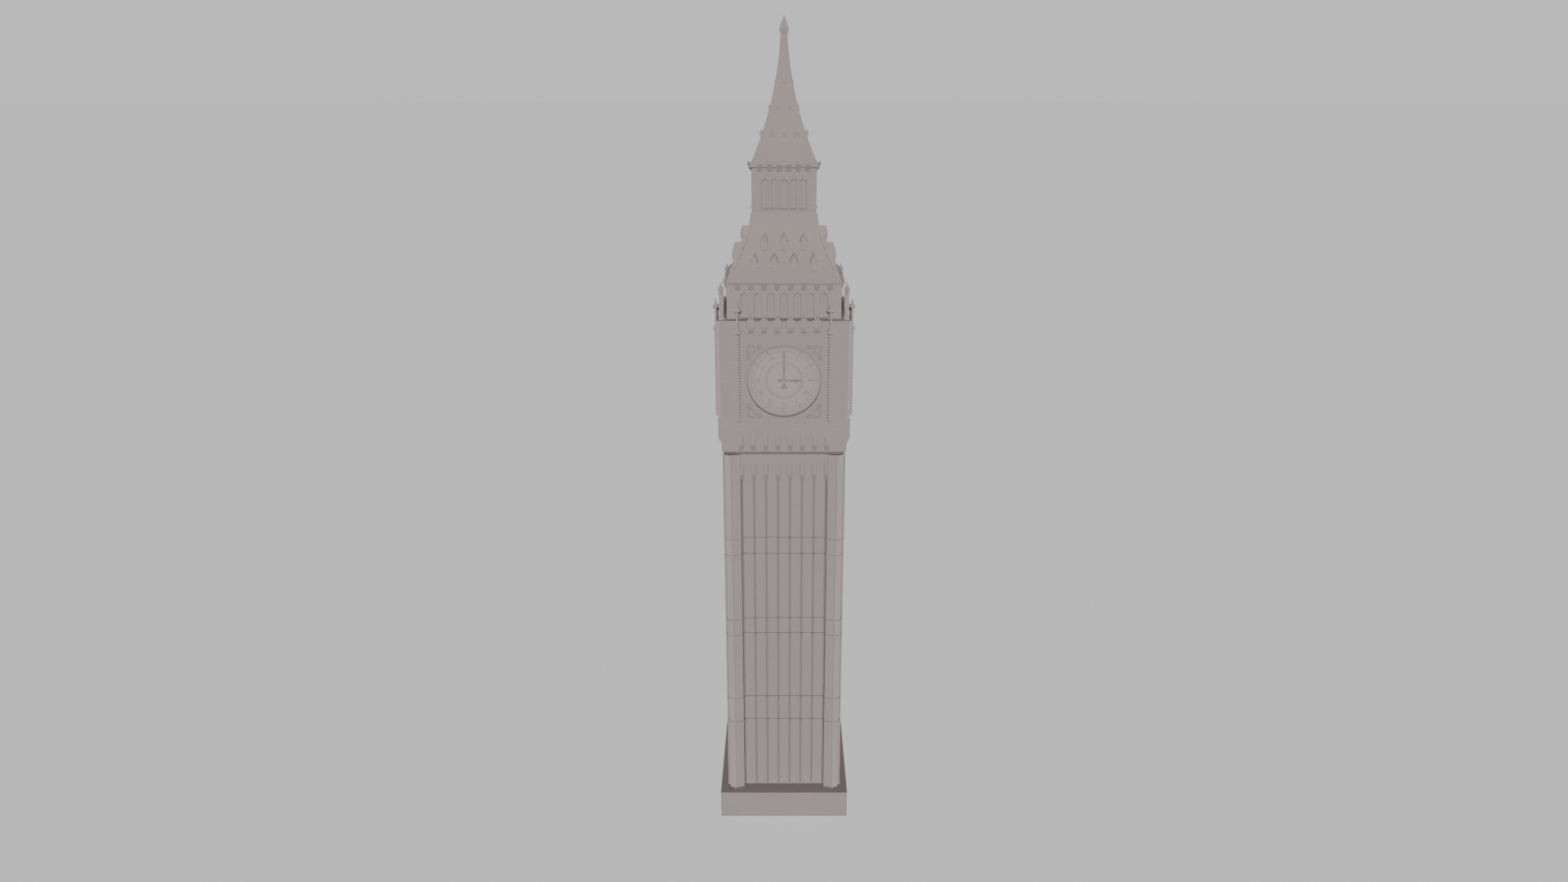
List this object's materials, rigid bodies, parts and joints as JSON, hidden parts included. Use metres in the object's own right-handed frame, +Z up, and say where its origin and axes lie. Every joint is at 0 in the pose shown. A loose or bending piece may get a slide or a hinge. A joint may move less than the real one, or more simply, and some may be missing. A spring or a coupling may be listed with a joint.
{
  "type": "1:10 scale model of a clock tower",
  "caption": "Tall square clock tower on a plinth, a scale model: ribbed shaft, corbelled clock stage with a dial on every side, blind belfry, lantern and concave spire.",
  "frame": {"origin": "middle of the plinth's underside, on the ground", "axes": "+Z up, the front faces -Y, +X to the viewer's right"},
  "size_m": [1.4, 1.4, 8.367],
  "materials": {
    "stone": "matte dressed stone",
    "roof_iron": "matte painted cast iron",
    "dial_plate": "matte paint",
    "hand_metal": "matte paint"
  },
  "bodies": {
    "tower": {"belfry_cornice": "stone", "belfry_floor": "stone", "belfry_wall_back": "stone", "belfry_wall_front": "stone", "belfry_wall_left": "stone", "belfry_wall_right": "stone", "clock_room_floor": "stone", "clock_wall_back": "stone", "clock_wall_front": "stone", "clock_wall_left": "stone", "clock_wall_right": "stone", "colonnettes": "stone", "corbel_back": "stone", "corbel_front": "stone", "corbel_left": "stone", "corbel_right": "stone", "corner_piers": "stone", "corner_pinnacles": "stone", "dial_back": "dial_plate", "dial_front": "dial_plate", "dial_left": "dial_plate", "dial_right": "dial_plate", "finial": "roof_iron", "gablet_parapets": "stone", "lantern_cornice": "stone", "lantern_wall_back": "stone", "lantern_wall_front": "stone", "lantern_wall_left": "stone", "lantern_wall_right": "stone", "lower_dormers": "roof_iron", "lower_roof": "roof_iron", "plinth": "stone", "shaft_wall_back": "stone", "shaft_wall_front": "stone", "shaft_wall_left": "stone", "shaft_wall_right": "stone", "upper_dormers": "roof_iron", "upper_roof": "roof_iron"},
    "minute_hand_front": {"minute_hand_front": "hand_metal"},
    "minute_hand_right": {"minute_hand_right": "hand_metal"},
    "minute_hand_back": {"minute_hand_back": "hand_metal"},
    "minute_hand_left": {"minute_hand_left": "hand_metal"},
    "hour_hand_front": {"hour_hand_front": "hand_metal"},
    "hour_hand_right": {"hour_hand_right": "hand_metal"},
    "hour_hand_back": {"hour_hand_back": "hand_metal"},
    "hour_hand_left": {"hour_hand_left": "hand_metal"}
  },
  "joints": [
    {"name": "minute_hand_front_turn", "type": "hinge", "parent": "tower", "child": "minute_hand_front", "pos_m": [0, -0.6, 5.004], "axis": [0, 1, 0], "continuous": true},
    {"name": "minute_hand_right_turn", "type": "hinge", "parent": "tower", "child": "minute_hand_right", "pos_m": [0.6, 0, 5.004], "axis": [-1, 0, 0], "continuous": true},
    {"name": "minute_hand_back_turn", "type": "hinge", "parent": "tower", "child": "minute_hand_back", "pos_m": [0, 0.6, 5.004], "axis": [0, -1, 0], "continuous": true},
    {"name": "minute_hand_left_turn", "type": "hinge", "parent": "tower", "child": "minute_hand_left", "pos_m": [-0.6, 0, 5.004], "axis": [1, 0, 0], "continuous": true},
    {"name": "hour_hand_front_turn", "type": "hinge", "parent": "tower", "child": "hour_hand_front", "pos_m": [0, -0.6, 5.004], "axis": [0, 1, 0], "continuous": true},
    {"name": "hour_hand_right_turn", "type": "hinge", "parent": "tower", "child": "hour_hand_right", "pos_m": [0.6, 0, 5.004], "axis": [-1, 0, 0], "continuous": true},
    {"name": "hour_hand_back_turn", "type": "hinge", "parent": "tower", "child": "hour_hand_back", "pos_m": [0, 0.6, 5.004], "axis": [0, -1, 0], "continuous": true},
    {"name": "hour_hand_left_turn", "type": "hinge", "parent": "tower", "child": "hour_hand_left", "pos_m": [-0.6, 0, 5.004], "axis": [1, 0, 0], "continuous": true}
  ],
  "couplings": [
    {"joint": "minute_hand_right_turn", "follows": "minute_hand_front_turn", "ratio": 1},
    {"joint": "minute_hand_back_turn", "follows": "minute_hand_front_turn", "ratio": 1},
    {"joint": "minute_hand_left_turn", "follows": "minute_hand_front_turn", "ratio": 1},
    {"joint": "hour_hand_front_turn", "follows": "minute_hand_front_turn", "ratio": 0.083333},
    {"joint": "hour_hand_right_turn", "follows": "minute_hand_front_turn", "ratio": 0.083333},
    {"joint": "hour_hand_back_turn", "follows": "minute_hand_front_turn", "ratio": 0.083333},
    {"joint": "hour_hand_left_turn", "follows": "minute_hand_front_turn", "ratio": 0.083333}
  ]
}
